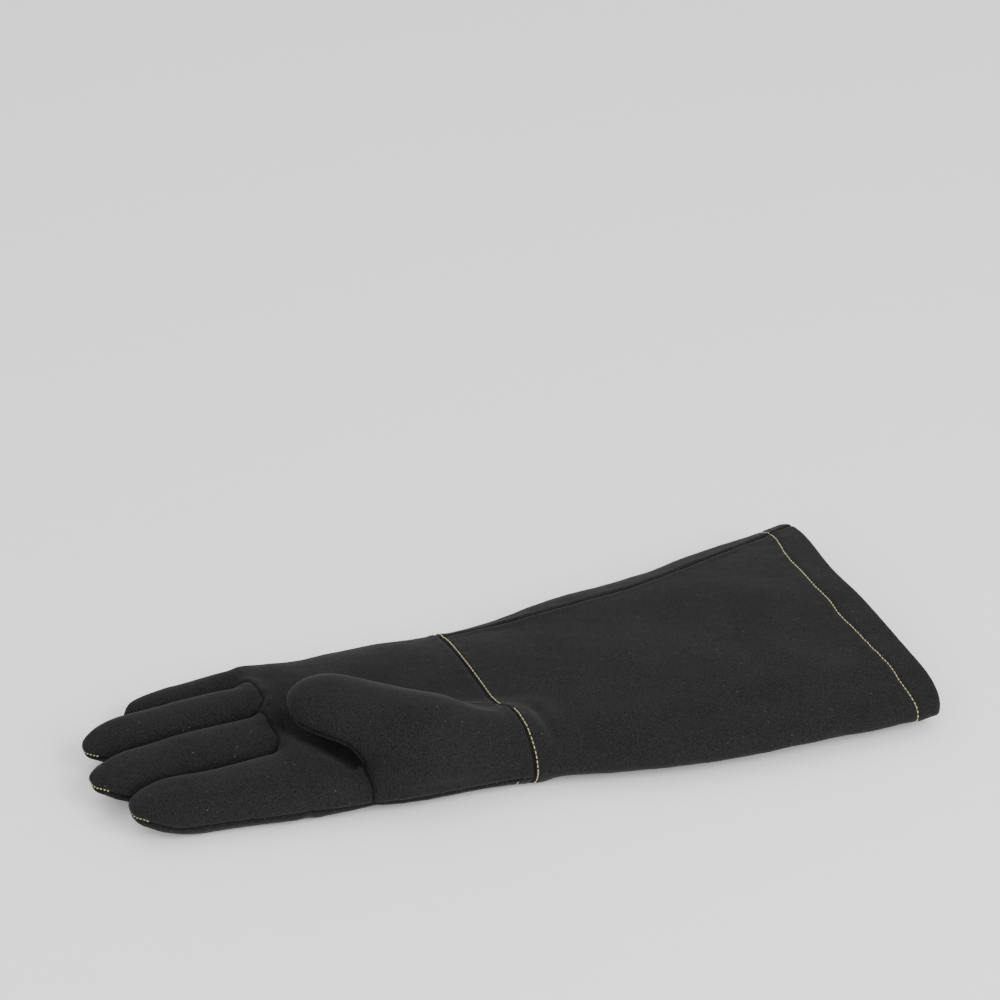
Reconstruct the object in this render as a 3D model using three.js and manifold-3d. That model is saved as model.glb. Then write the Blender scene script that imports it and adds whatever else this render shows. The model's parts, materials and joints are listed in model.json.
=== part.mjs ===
// A long heat resistant glove for the left hand, lying palm up with its thumb folded over the palm.
// Millimetres. +X runs from the fingertips to the cuff's mouth, -Y is the thumb side, +Z is the palm side.
// The glove is a knitted outer shell over a felt lining, sewn from flat panels, and every panel is split
// where a knuckle, the wrist or the thumb bends. All shapes are set out from the middle of the wrist seam,
// and the whole glove is then moved so that the origin is the middle of its underside.
import * as THREE from "three";
import { mergeVertices } from "three/addons/utils/BufferGeometryUtils.js";
import { ParametricGeometry } from "three/addons/geometries/ParametricGeometry.js";
import Module from "manifold-3d";

// ---------------------------------------------------------------- driving dimensions
const WRIST_AT = [-5, 12.4]; // the middle of the wrist seam in the part's own frame
const FABRIC = 2.2; // thickness of the knitted shell
const LINING = 1.9; // thickness of the felt
const GAP = 0.3; // clearance between pieces that touch
const HALF_GAP = GAP / 2;
const REST_FLAT = 0.9; // how deep the underside is pressed flat where it lies on the table
const FAR = 1500; // edge of a box that stands for a half space

const HEM_DEPTH = 19; // turned-in hem at the cuff's mouth
const CUFF_LENGTH = 222;
const THREAD = 0.5; // radius of a topstitch
const THREAD_UNDER = 3; // facets of the cuff that a topstitch runs on below the widest line
const TOPSTITCH_SETBACK = 2.2; // from the wrist seam to its topstitch
const HEM_STITCH_X = CUFF_LENGTH - HEM_DEPTH;

const WRIST_PIVOT_Z = 14.5;
const WRIST_FLEX = 35; // towards the palm, degrees
const WRIST_EXTEND = 25; // towards the back, degrees

const HAND_SEAM_Z = 9.5; // side seam between the back panel and the palm pieces
const CUFF_SEAM_NEAR_Z = 8; // side seam of the cuff on the thumb side
const CUFF_SEAM_FAR_Z = 19; // and on the little finger side, where the palm panel stops short of the edge
const SET_IN_X = -117; // square base of the two set-in finger pieces
const SET_IN_STEP = 4; // the middle one starts this much nearer to the tip
const WING_FRONT_X = -84; // front seam of the thumb wing
const WING_TOP_Y = [-34, -40]; // its seam on the palm, at the wrist and at the front

const CUFF_SIDES = 28;
const THREAD_SIDES = 6;
const HAND_SIDES = 24;
const THUMB_SIDES = 16;
const FINGER_SIDES = 12;
const FLAT_OVAL = 2.5; // superellipse power of the hand and cuff
const ROUND_OVAL = 2.15; // and of fingers and thumb

// Half width and half thickness along the cuff: distance from the wrist, sideways shift, half width, half height.
const CUFF_ROWS = [
  [-8, -2, 62.5, 14.5],
  [22, -7, 67, 15],
  [60, -12.5, 75.2, 15.2],
  [110, -16, 82.8, 15.2],
  [165, -15, 89.7, 14.8],
  [CUFF_LENGTH + 8, -11.3, 95, 14],
];
// The same along the hand, measured towards the fingers.
const HAND_ROWS = [
  [-8, -2, 62.5, 14.5],
  [20, 2, 61.8, 14.4],
  [44, 5, 62.6, 14.2],
  [84, 7.4, 63.6, 14.2],
  [122, 11, 60, 13.6],
];
// Fingers: middle of the root at the crotch, fingertip, half widths at crotch and before the tip, half height,
// and how far beyond the crotch the two knuckles lie.
const CROTCH_X = -119;
const FINGERS = {
  index: { rootY: -27, tip: [-200, -16.5], half: [19.6, 14.2], height: 13.8, knuckles: [15, 46] },
  middle: { rootY: 10.2, tip: [-212, 13.2], half: [16.4, 15.5], height: 13.8, knuckles: [15, 50] },
  ring: { rootY: 42, tip: [-206.5, 42.8], half: [14, 13.5], height: 13.2, knuckles: [15, 48] },
  little: { rootY: 68, tip: [-176, 66.5], half: [10.6, 10.4], height: 11.2, knuckles: [13, 37] },
};
const TIP_ROUND = 15; // length of a fingertip's rounding
const ROOT_INSIDE = 22; // how far a finger's tube runs on inside the hand
const ROOT_TAPER = 0.8; // and how much it narrows there

// Thumb: centreline from the wrist along the ball of the thumb, then across the palm to the tip.
const THUMB_PATH = [
  [4, -45.5, 15],
  [-24, -44, 22.5],
  [-50, -32, 31],
  [-74, -12.5, 38],
  [-103, 10.5, 41.5],
];
const THUMB_HALF = [
  [17, 15.5],
  [19, 18.5],
  [20.5, 18],
  [18.4, 13.6],
  [17, 12],
];
const THUMB_JOINT_AT = 0.53; // share of the centreline's parameter where the thumb turns
const THUMB_TIP_ROUND = 0.13; // share of it that the tip's rounding takes
const THUMB_CLEARANCE = 1.8; // between the folded thumb and the palm beneath it
const THUMB_PIVOT_RISE = 1.2; // how far above the fabric the thumb's hinge line lies

const COLOURS = { knit: 0x2b2a2a, felt: 0x35332f, thread: 0xbfc07a };

// ---------------------------------------------------------------- geometry helpers
const wasm = await Module();
wasm.setup();
const UP = new THREE.Vector3(0, 0, 1);
const vec = (x, y, z) => new THREE.Vector3(x, y, z);

// A closed geometry as a solid that can be joined and cut.
function solid(geometry) {
  const bare = geometry.clone();
  bare.deleteAttribute("normal");
  bare.deleteAttribute("uv");
  const merged = mergeVertices(bare, 1e-3);
  const kept = [];
  const corner = merged.index.array;
  for (let i = 0; i < corner.length; i += 3) {
    const [a, b, c] = [corner[i], corner[i + 1], corner[i + 2]];
    if (a !== b && b !== c && c !== a) kept.push(a, b, c);
  }
  return new wasm.Manifold(
    new wasm.Mesh({
      numProp: 3,
      vertProperties: merged.attributes.position.array,
      triVerts: new Uint32Array(kept),
    }),
  );
}

// The half space on the side of a plane that its normal points to.
function halfSpace(point, normal) {
  const box = new THREE.BoxGeometry(FAR, FAR, FAR).translate(0, 0, FAR / 2);
  box.applyQuaternion(new THREE.Quaternion().setFromUnitVectors(UP, normal.clone().normalize()));
  return solid(box.translate(point.x, point.y, point.z));
}

const signedPower = (value, power) => Math.sign(value) * Math.abs(value) ** power;

// A tube through oval stations {centre, side, up, w, h}, closed at both ends.
function loft(stations, sides, oval) {
  const rings = [stations[0], ...stations, stations[stations.length - 1]];
  const last = rings.length - 1;
  return solid(
    new ParametricGeometry(
      (u, v, target) => {
        const row = Math.round(v * last);
        const at = rings[row];
        const size = row === 0 || row === last ? 0 : 1;
        const angle = -2 * Math.PI * u;
        const across = size * at.w * signedPower(Math.cos(angle), 2 / oval);
        const above = size * at.h * signedPower(Math.sin(angle), 2 / oval);
        target.copy(at.centre).addScaledVector(at.side, across).addScaledVector(at.up, above);
      },
      sides,
      last,
    ),
  );
}

// Stations of the cuff or hand, which run straight along X in direction `way` and lie on the table.
function flatStations(rows, way, inset, steps) {
  const path = new THREE.CatmullRomCurve3(rows.map(([s, shift]) => vec(s, shift, 0)));
  const size = new THREE.CatmullRomCurve3(rows.map(([, , w, h]) => vec(w, h, 0)));
  return Array.from({ length: steps + 1 }, (_, i) => {
    const { x: s, y: shift } = path.getPoint(i / steps);
    const { x: w, y: h } = size.getPoint(i / steps);
    return {
      centre: vec(way * s, shift, h - REST_FLAT),
      side: vec(0, -way, 0),
      up: UP,
      w: w - inset,
      h: h - inset,
    };
  });
}

// Oval size left at share t of a rounded end.
const roundedEnd = (t) => Math.sqrt(Math.max(0, 1 - t * t));

// A finger's frame: its direction, its side and the point where it leaves the hand.
function fingerFrame({ rootY, tip }) {
  const root = vec(CROTCH_X, rootY, 0);
  const along = vec(tip[0], tip[1], 0).sub(root);
  const length = along.length();
  along.normalize();
  return { root, along, length, side: vec(along.y, -along.x, 0) };
}

function fingerStations(finger, inset) {
  const { root, along, length, side } = fingerFrame(finger);
  const end = length - inset;
  const straight = length - TIP_ROUND;
  const places = [-ROOT_INSIDE, 0, straight / 2, straight];
  const sunkRoot = (s) => (s < 0 ? ROOT_TAPER : 1);
  for (const turn of [28, 55, 76, 90])
    places.push(straight + (end - straight) * Math.sin(THREE.MathUtils.degToRad(turn)));
  return places.map((s) => {
    const share = THREE.MathUtils.clamp(s / straight, 0, 1);
    const width = THREE.MathUtils.lerp(...finger.half, share);
    const scale = s > straight ? roundedEnd((s - straight) / (end - straight)) : sunkRoot(s);
    return {
      centre: root.clone().addScaledVector(along, s).setZ(finger.height - REST_FLAT),
      side,
      up: UP,
      w: (width - inset) * scale,
      h: (finger.height - inset) * scale,
    };
  });
}

const thumbPath = new THREE.CatmullRomCurve3(THUMB_PATH.map((p) => vec(...p)));
const thumbSize = new THREE.CatmullRomCurve3(THUMB_HALF.map(([w, h]) => vec(w, h, 0)));

function thumbFrame(t) {
  const along = thumbPath.getTangent(t);
  const side = vec(along.y, -along.x, 0).normalize();
  return { centre: thumbPath.getPoint(t), along, side, up: side.clone().cross(along) };
}

function thumbStations(inset) {
  const straight = 1 - THUMB_TIP_ROUND;
  const tipLength = thumbPath.getLength() * THUMB_TIP_ROUND;
  const end = 1 - (THUMB_TIP_ROUND * inset) / tipLength;
  const places = Array.from({ length: 7 }, (_, i) => (straight * i) / 6);
  for (const turn of [32, 62, 90])
    places.push(straight + (end - straight) * Math.sin(THREE.MathUtils.degToRad(turn)));
  return places.map((t) => {
    const { x: w, y: h } = thumbSize.getPoint(t);
    const scale = t > straight ? roundedEnd((t - straight) / (end - straight)) : 1;
    return { ...thumbFrame(t), w: (w - inset) * scale, h: (h - inset) * scale };
  });
}

// ---------------------------------------------------------------- the glove's layers
const names = Object.keys(FINGERS);
const cuffAt = (inset) => loft(flatStations(CUFF_ROWS, 1, inset, 6), CUFF_SIDES, FLAT_OVAL);
const palmAt = (inset) => {
  const stations = flatStations(HAND_ROWS, -1, inset, 6);
  return loft(stations, HAND_SIDES, FLAT_OVAL).subtract(
    halfSpace(vec(CROTCH_X + inset, 0, 0), vec(-1, 0, 0)),
  );
};
const fingerAt = (name, inset) =>
  loft(fingerStations(FINGERS[name], inset), FINGER_SIDES, ROUND_OVAL);
const thumbAt = (inset) => loft(thumbStations(inset), THUMB_SIDES, ROUND_OVAL);

// The whole hand, with fingers and thumb, inset from its outer surface.
const handAt = (inset) =>
  names.reduce((sum, name) => sum.add(fingerAt(name, inset)), palmAt(inset)).add(thumbAt(inset));

const INSETS = [0, FABRIC, FABRIC + GAP, FABRIC + GAP + LINING];
const aboveTable = halfSpace(vec(0, 0, 0), UP);
const shellOf = (at, outer, inner) => at(INSETS[outer]).subtract(at(INSETS[inner]));
const fabricOf = (at) => shellOf(at, 0, 1).intersect(aboveTable);
const liningOf = (at) => shellOf(at, 2, 3);

// ---------------------------------------------------------------- where the glove bends
const degrees = THREE.MathUtils.degToRad;
const wristPivot = vec(0, 0, WRIST_PIVOT_Z);

// Everything on one side of the wrist seam. Above and below the pivot the seam's two sides lean apart, so that
// the palm side can close when the hand flexes and the back can close when it is bent back.
function wristSide(way) {
  const flex = degrees(WRIST_FLEX / 2 + 1);
  const extend = degrees(WRIST_EXTEND / 2 + 1);
  const pivot = wristPivot.clone().setX(way * HALF_GAP);
  return halfSpace(pivot, vec(way * Math.cos(flex), 0, -Math.sin(flex))).intersect(
    halfSpace(pivot, vec(way * Math.cos(extend), 0, Math.sin(extend))),
  );
}
const cuffSide = wristSide(1);
const handSide = wristSide(-1);

// A knuckle turns about the crease on the palm side, so its seam only opens on the back.
function knuckle(finger, order) {
  const { root, along, side } = fingerFrame(finger);
  const place = root.clone().addScaledVector(along, finger.knuckles[order]);
  place.z = 2 * finger.height - REST_FLAT;
  return { place, along, axis: side };
}
const beyond = ({ place, along }, gap = HALF_GAP) =>
  halfSpace(place.clone().addScaledVector(along, gap), along);
const before = ({ place, along }, gap = HALF_GAP) =>
  halfSpace(place.clone().addScaledVector(along, -gap), along.clone().negate());

// The thumb lifts about a line across the top of its root.
function thumbHinge() {
  const { centre, along, side, up } = thumbFrame(THUMB_JOINT_AT);
  const { y: height } = thumbSize.getPoint(THUMB_JOINT_AT);
  const level = along.clone().setZ(0).normalize();
  const place = centre.addScaledVector(up, height).add(vec(0, 0, THUMB_PIVOT_RISE));
  return { place, along: level, axis: side };
}
const thumbJoint = thumbHinge();

// ---------------------------------------------------------------- panels
const glove = new THREE.Group();
const materials = {
  knit: { color: COLOURS.knit, roughness: 0.95, metalness: 0 },
  felt: { color: COLOURS.felt, roughness: 1, metalness: 0 },
  thread: { color: COLOURS.thread, roughness: 0.7, metalness: 0 },
};

function piece(name, body, material) {
  const parts = body.decompose();
  parts.sort((a, b) => b.volume() - a.volume());
  const mesh = parts[0].getMesh();
  const geometry = new THREE.BufferGeometry();
  const corners = new Float32Array(mesh.numVert * 3);
  for (let i = 0; i < mesh.numVert; i++)
    corners.set(mesh.vertProperties.subarray(i * mesh.numProp, i * mesh.numProp + 3), i * 3);
  geometry.setAttribute("position", new THREE.BufferAttribute(corners, 3));
  geometry.setIndex(new THREE.BufferAttribute(mesh.triVerts, 1));
  const made = new THREE.Mesh(geometry, new THREE.MeshStandardMaterial(materials[material]));
  made.name = name;
  glove.add(made);
}

// Fabric above and below a side seam.
const seamAbove = (z) => halfSpace(vec(0, 0, z + HALF_GAP), UP);
const seamBelow = (z) => halfSpace(vec(0, 0, z - HALF_GAP), UP.clone().negate());

function cuff() {
  const mouth = halfSpace(vec(CUFF_LENGTH, 0, 0), vec(-1, 0, 0));
  const region = cuffSide.intersect(mouth);
  const shell = fabricOf(cuffAt).intersect(region);
  const halfWidth = 75;
  const tilt = Math.atan2(CUFF_SEAM_FAR_Z - CUFF_SEAM_NEAR_Z, 2 * halfWidth);
  const seam = vec(0, -12, (CUFF_SEAM_FAR_Z + CUFF_SEAM_NEAR_Z) / 2);
  const palmWay = vec(0, -Math.sin(tilt), Math.cos(tilt));
  const palmSide = halfSpace(seam.clone().addScaledVector(palmWay, HALF_GAP), palmWay);
  const backWay = palmWay.clone().negate();
  const backSide = halfSpace(seam.clone().addScaledVector(backWay, HALF_GAP), backWay);
  piece("cuff_palm_panel", shell.intersect(palmSide), "knit");
  piece("cuff_back_panel", shell.intersect(backSide), "knit");

  const foldStart = halfSpace(vec(HEM_STITCH_X, 0, 0), vec(1, 0, 0));
  const fold = liningOf(cuffAt).intersect(foldStart).intersect(mouth);
  piece("cuff_hem_fold", fold, "knit");
  const liningEnd = halfSpace(vec(HEM_STITCH_X - GAP, 0, 0), vec(-1, 0, 0));
  piece("cuff_lining", liningOf(cuffAt).intersect(cuffSide).intersect(liningEnd), "felt");
}

// The cuff's outer section at distance x from the wrist seam, grown by `proud`.
function cuffSection(x, proud) {
  const stations = flatStations(CUFF_ROWS, 1, -proud, 120);
  const next = stations.findIndex((station) => station.centre.x > x);
  const [low, high] = [stations[next - 1], stations[next]];
  const share = (x - low.centre.x) / (high.centre.x - low.centre.x);
  return {
    centre: low.centre.clone().lerp(high.centre, share),
    w: THREE.MathUtils.lerp(low.w, high.w, share),
    h: THREE.MathUtils.lerp(low.h, high.h, share),
  };
}

// Thread laid on the facets of the cuff, over its top and a little way under its sides. `lean` follows the notch
// at the wrist.
function topstitch(name, x, lean) {
  const proud = THREAD + 2 * GAP;
  const points = Array.from({ length: CUFF_SIDES / 2 + 2 * THREAD_UNDER + 1 }, (_, i) => {
    const angle = (2 * Math.PI * (i - THREAD_UNDER)) / CUFF_SIDES;
    const above = signedPower(Math.sin(angle), 2 / FLAT_OVAL);
    const across = signedPower(Math.cos(angle), 2 / FLAT_OVAL);
    const flat = cuffSection(x, proud);
    const here = x + lean * Math.abs(flat.centre.z + flat.h * above - WRIST_PIVOT_Z);
    const { centre, w, h } = cuffSection(here, proud);
    return vec(here, centre.y - w * across, centre.z + h * above);
  });
  const stations = points.map((centre, i) => {
    const [from, to] = [points[Math.max(i - 1, 0)], points[Math.min(i + 1, points.length - 1)]];
    const along = to.clone().sub(from).normalize();
    const up = vec(1, 0, 0).cross(along).normalize();
    return { centre, side: along.cross(up), up, w: THREAD, h: THREAD };
  });
  piece(name, loft(stations, THREAD_SIDES, 2), "thread");
}

function hand() {
  const beyondKnuckles = names
    .map((name) => {
      const joint = knuckle(FINGERS[name], 0);
      return fingerAt(name, -1).intersect(beyond(joint, -HALF_GAP));
    })
    .reduce((sum, next) => sum.add(next));
  const movingThumb = (inset) => thumbAt(inset).intersect(beyond(thumbJoint, -HALF_GAP));
  const fixed = (body, inset) =>
    body
      .intersect(handSide)
      .subtract(beyondKnuckles)
      .subtract(movingThumb(inset).subtract(palmAt(inset)));
  const shell = fixed(fabricOf(handAt), -GAP);
  const palm = shell.intersect(seamAbove(HAND_SEAM_Z));
  piece("hand_back_panel", shell.intersect(seamBelow(HAND_SEAM_Z)), "knit");
  piece("hand_lining", fixed(liningOf(handAt), INSETS[2] - GAP), "felt");

  // The wing covers the ball of the thumb and the thumb-side edge of the palm.
  const wing = (grow) => {
    const front = halfSpace(vec(WING_FRONT_X - grow, 0, 0), vec(1, 0, 0));
    const slope = vec(WING_FRONT_X, WING_TOP_Y[1] - WING_TOP_Y[0], 0).normalize();
    const away = vec(-slope.y, slope.x, 0);
    const top = vec(0, WING_TOP_Y[0], 0).addScaledVector(away, -grow);
    return front.intersect(halfSpace(top, away)).add(thumbAt(-1 - grow));
  };
  piece("thumb_wing_base", palm.intersect(wing(-HALF_GAP)), "knit");

  // The palm sides of the middle and ring fingers are set in with square base ends.
  const setIn = (name, start, grow) => {
    const { rootY, half } = FINGERS[name];
    const width = 2 * (half[0] + grow) + GAP;
    const box = new THREE.BoxGeometry(60, width, 60);
    return solid(box.translate(start - 30 + grow, rootY, HAND_SEAM_Z + 30));
  };
  const insets = { middle: SET_IN_X - SET_IN_STEP, ring: SET_IN_X };
  let rest = palm.subtract(wing(HALF_GAP));
  for (const [name, start] of Object.entries(insets)) {
    piece(name + "_palm_root", rest.intersect(setIn(name, start, -HALF_GAP)), "knit");
    rest = rest.subtract(setIn(name, start, HALF_GAP));
  }
  piece("palm_panel", rest, "knit");
}

function finger(name) {
  const at = (inset) => fingerAt(name, inset);
  const [first, second] = [0, 1].map((order) => knuckle(FINGERS[name], order));
  const spans = { base: beyond(first).intersect(before(second)), tip: beyond(second) };
  for (const [span, region] of Object.entries(spans)) {
    const shell = fabricOf(at).intersect(region);
    piece(`${name}_back_${span}`, shell.intersect(seamBelow(HAND_SEAM_Z)), "knit");
    piece(`${name}_palm_${span}`, shell.intersect(seamAbove(HAND_SEAM_Z)), "knit");
    piece(`${name}_lining_${span}`, liningOf(at).intersect(region), "felt");
  }
}

function thumb() {
  const region = beyond(thumbJoint);
  const clear = palmAt(-THUMB_CLEARANCE);
  piece("thumb_wing_tip", fabricOf(thumbAt).intersect(region).subtract(clear), "knit");
  piece("thumb_lining_tip", liningOf(thumbAt).intersect(region).subtract(clear), "felt");
}

const notch = Math.tan(degrees(WRIST_FLEX / 2 + 1));
cuff();
topstitch("wrist_topstitch", TOPSTITCH_SETBACK, notch);
topstitch("hem_topstitch", HEM_STITCH_X, 0);
hand();
names.forEach(finger);
thumb();

glove.position.set(WRIST_AT[0], WRIST_AT[1], 0);
glove.updateMatrixWorld(true);

// Each joint's pivot and axis in the part's own frame.
const joints = { wrist_bend: { place: wristPivot, axis: vec(0, 1, 0) }, thumb_lift: thumbJoint };
for (const name of names) {
  joints[name + "_curl"] = knuckle(FINGERS[name], 0);
  joints[name + "_tip_curl"] = knuckle(FINGERS[name], 1);
}
for (const [name, { place, axis }] of Object.entries(joints))
  glove.userData[name] = { place: place.clone().add(glove.position), axis };

export default glove;
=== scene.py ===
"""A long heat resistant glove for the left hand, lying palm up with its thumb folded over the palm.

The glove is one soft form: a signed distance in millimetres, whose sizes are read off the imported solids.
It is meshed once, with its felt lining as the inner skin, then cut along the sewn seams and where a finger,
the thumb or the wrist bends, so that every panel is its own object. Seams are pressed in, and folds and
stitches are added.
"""
import json
import math

import bmesh
import bpy
import numpy as np
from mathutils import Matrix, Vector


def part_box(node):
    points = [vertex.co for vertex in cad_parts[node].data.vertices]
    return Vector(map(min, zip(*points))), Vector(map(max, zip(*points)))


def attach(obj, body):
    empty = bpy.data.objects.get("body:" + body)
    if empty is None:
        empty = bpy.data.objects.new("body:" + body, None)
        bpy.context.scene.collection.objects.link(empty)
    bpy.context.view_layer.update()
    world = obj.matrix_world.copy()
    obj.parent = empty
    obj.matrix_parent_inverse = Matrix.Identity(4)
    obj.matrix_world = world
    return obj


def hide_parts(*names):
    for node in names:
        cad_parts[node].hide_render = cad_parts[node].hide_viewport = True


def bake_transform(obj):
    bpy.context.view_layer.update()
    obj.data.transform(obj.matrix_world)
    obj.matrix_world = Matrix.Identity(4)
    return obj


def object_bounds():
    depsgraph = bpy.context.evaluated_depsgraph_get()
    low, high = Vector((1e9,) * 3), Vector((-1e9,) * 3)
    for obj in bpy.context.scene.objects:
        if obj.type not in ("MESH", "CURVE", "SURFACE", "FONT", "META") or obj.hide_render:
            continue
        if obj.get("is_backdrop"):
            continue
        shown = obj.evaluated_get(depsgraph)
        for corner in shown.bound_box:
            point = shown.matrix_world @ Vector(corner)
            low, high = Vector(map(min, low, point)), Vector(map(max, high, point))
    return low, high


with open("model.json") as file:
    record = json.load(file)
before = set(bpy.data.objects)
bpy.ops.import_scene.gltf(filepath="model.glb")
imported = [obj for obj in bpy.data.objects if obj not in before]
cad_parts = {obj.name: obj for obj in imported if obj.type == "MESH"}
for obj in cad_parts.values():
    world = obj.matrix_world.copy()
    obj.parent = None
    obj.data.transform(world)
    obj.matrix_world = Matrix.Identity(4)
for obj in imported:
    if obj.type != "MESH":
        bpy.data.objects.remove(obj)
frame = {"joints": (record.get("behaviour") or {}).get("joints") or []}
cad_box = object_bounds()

import openvdb
from mathutils import Vector, bvhtree, kdtree
from numpy.linalg import norm

MM = 0.001

# ---- driving sizes, in millimetres
VOXEL = 1.05
THICKNESS = 4.4  # knit and felt together
REST_FLAT = 0.9  # how deep the underside is pressed flat on the table
FLAT_OVAL = 2.5  # superellipse power of the hand and cuff
FINGER_OVAL = {"index": 2.5, "middle": 2.55, "ring": 2.5, "little": 2.1}
ROUND_OVAL = 2.2  # and of the thumb
RIM_ROUND = 2.4  # rounding of the folded edge at the cuff's mouth
MOUTH_CORNER = (3.5, 6)  # how far the mouth's near and far corners are rounded back
MOUTH_CORNER_POWER = 9
MOUTH_FAR = 8  # and how much further the cuff reaches at the little finger's side
HEM_DEPTH = 19
HEM_FOLLOWS = 0.8  # how closely the hem stitching follows the edge
HEM_ENDS = 4.5  # how much nearer to the edge it runs at the cuff's two sides
HEM_ENDS_POWER = 4
HEM_WANDER = ((0.7, 11, 0), (0.35, 5.3, 1))  # height, spacing and start of the waves in it
HAND_SEAM_Z = 9.5  # side seam between the back and the palm pieces
CUFF_SEAM_Z = 2.5  # the cuff's seam at the thumb side, turned under
CUFF_SEAM_IN = (12, 20, 11)  # and on top, from the far edge: at wrist, halfway and mouth
WING_FRONT = -83.5  # front seam of the thumb wing, from the wrist seam
WING_TOP = (-34, -40)  # its seam on the palm, from the glove's centreline, at the wrist and at the front
WRIST_SEAM_IN = 3.5  # the wrist seam, from the joint towards the fingers
WRIST_SEAM_LEAN = -0.012  # how it leans on its way to the little finger's side
WRIST_STEP = 3.7  # and steps towards the cuff over the thumb wing
WRIST_STEP_Y = -30
WRIST_STEP_WIDTH = 9
SET_IN_CORNER = 4
SET_IN_CORNER_POWER = 6
LANE_START = 14  # the fingers' lanes start this far inside the palm
SNAP = 0.15  # a seam this near to a mesh point, in edge lengths, runs through it
SET_IN = {"middle": -114, "ring": -110}  # square base ends of the set-in finger pieces, from the wrist seam
CROTCH_AHEAD = {"index": 15, "middle": 15, "ring": 15, "little": 13}  # from each crotch to the first knuckle
PLUMP = {"index": 1, "middle": 1, "ring": 1, "little": 0.93}  # how full each finger is, against its solid
TIP_ROUND = 28
TIP_SWEEP = {"index": 3, "middle": 3, "ring": 2, "little": 1.5}  # how far each fingertip's middle line rises
SWEEP_START = 8  # ahead of the straight part's end
SWEEP_LENGTH = 32
TIP_SEAM_RISE = {"index": 5.5, "middle": 6, "ring": 4, "little": 2.5}  # and its side seam
ROOT_INSIDE = 22  # a finger's form fades out this far inside the palm
PALM_END_ROUND = 10
PALM_TUCK = 4.5  # and its end tucks in behind the outer fingers by this much
TUCK_ZONE = ((8, 14), (12, 20))  # from the crotch: start and length of the tuck, at its near and far sides
EDGE_AT_FINGERS = 17  # width of the palm's rounded edges at the fingers
EDGE_TAPER = 70  # length over which they narrow to that
PALM_TAPER = 36  # length over which the palm's edges run into the outer fingers
PALM_PROUD = 0.3  # the palm stands this much above the finger roots, in half height
FINGER_BLEND = 5  # fillet between fingers and palm
THUMB_BLEND = 16  # and between the thumb and the ball of the hand
FINGER_GAP = 0.7  # least gap between neighbouring fingers
FINGER_GAP_ROUND = 1.5
TABLE_ROUND = 1.2  # rounding where the glove rests on the table
ROW_NEAR_WRIST = 9  # the rows of sections leave out this much beside the wrist joint
ROW_BLUR = 9.0  # and are smoothed over about this length

# Thumb: middle line and half sizes, from the wrist joint's foot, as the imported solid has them.
THUMB_PATH = [(4, -45.5, 15), (-24, -44, 22.5), (-50, -33, 31), (-76.5, -16, 39.6), (-103, 10.3, 42.4)]
THUMB_HALF = [(17, 15.5), (19, 18.5), (21.5, 18), (22.8, 11.8), (17, 10.2)]
WING_CENTRE = (-52, -41, 23)  # the wing is drawn over a low mound beside the thumb
WING_RADII = (28.5, 21, 18)
THUMB_TIP_ROUND = 0.13
THUMB_SAMPLES = 90
THUMB_REACH = 34  # the thumb's form is only worked out this near to its middle line
THUMB_FREE_FROM = (-83, -43.4)  # near end of the crease where the thumb leaves the palm
THUMB_FREE_WAY = (-0.66, 0.75)  # level direction in which the thumb gets free of the palm
THUMB_EDGE_LOW = 2.2  # the thumb's side seam, below its middle line
THUMB_EDGE_DROP = 12  # and how much lower it runs towards the root
THUMB_EDGE_FROM = 0.56  # share of the thumb's length
THUMB_EDGE_FADE = 0.22
THUMB_EDGE_FAR = 0.1  # further along on the side away from the index finger
THUMB_FREE_LENGTH = 4  # the thumb gets free of the palm over this length
CREASE_FILLET = (12, 14)  # where its fillet ends, ahead of the crease, and over what length
THUMB_GAP = 0.8
THUMB_GAP_GROWTH = 0.08
HOLLOW = ((-83, -38), (-107, 6))  # ends of the hollow in the palm beneath the thumb
HOLLOW_DEPTH = 6.5
HOLLOW_WIDTH = 9
HOLLOW_LOW = 12  # height above the table where it starts
HOLLOW_FADE = 8

KNUCKLE_ZONE = {"index": 14.5, "middle": 15, "ring": 15, "little": 11.5}  # half length of a bending zone

SPREAD = 4.0  # neighbouring fingers, and thumb and palm, are drawn this far apart for the meshing
SPREAD_ZONE = 1.0
SPREAD_FROM = 10  # inside the crotch, and over this length
SPREAD_LENGTH = 16
MESH_MARGIN = 3
RELAX_ROUNDS = 5
LEAST_HEIGHT = 0.06
SEAM_DEPTH = 0.9
SEAM_WIDTH = 0.55
SEAM_SHADE = 0.8  # width of the painted shade along each seam's groove
PUCKER = (0.35, 2.8, 1.6)  # the cloth beside a seam: its rise, distance and width
LOOSE_WAVES = ((0.55, 80, 11), (0.13, 30, 12), (0.03, 9, 13))  # height, spacing and seed
WAVES = 14  # waves in each random ripple
WAVE_SCALE = math.pi / 10  # a wave texture's scale times its pitch
TOPSTITCH_OFF = 1.6  # from the wrist seam, on the cuff
STITCH_LENGTH = 1.95
STITCH_PITCH = 2.5
STITCH_RADIUS = 0.29
STITCH_ROUND = 8
STITCH_SHARES = np.array([0, 0.12, 0.32, 0.5, 0.68, 0.88, 1])
STITCH_RISE = STITCH_RADIUS * np.array([-1.3, 0.2, 0.75, 0.85, 0.75, 0.2, -1.3])
STITCH_THICK = STITCH_RADIUS * np.array([0.5, 0.9, 1, 1, 1, 0.9, 0.5])
STITCH_WANDER = 0.12
STITCH_STRETCH = (0.9, 1.08)
TIP_STITCH = {"length": 1.0, "pitch": 1.8}
HIDDEN_STITCHES = (-9, 1)  # from the wrist seam's step: those in the fold beside the wing
TIP_STITCH_OFF = 0.9
RAY_LENGTH = 130.0
RAY_HALVINGS = 26
RING_POINTS = 900
LOOSE_THREAD = (-12.5, 10)  # x and height where it leaves the wing's edge
LOOSE_POINTS = 14
TIP_STITCHES = {"index": (-28, 14), "middle": (-28, 12), "ring": (-22, 9)}  # degrees round each tip
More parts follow.
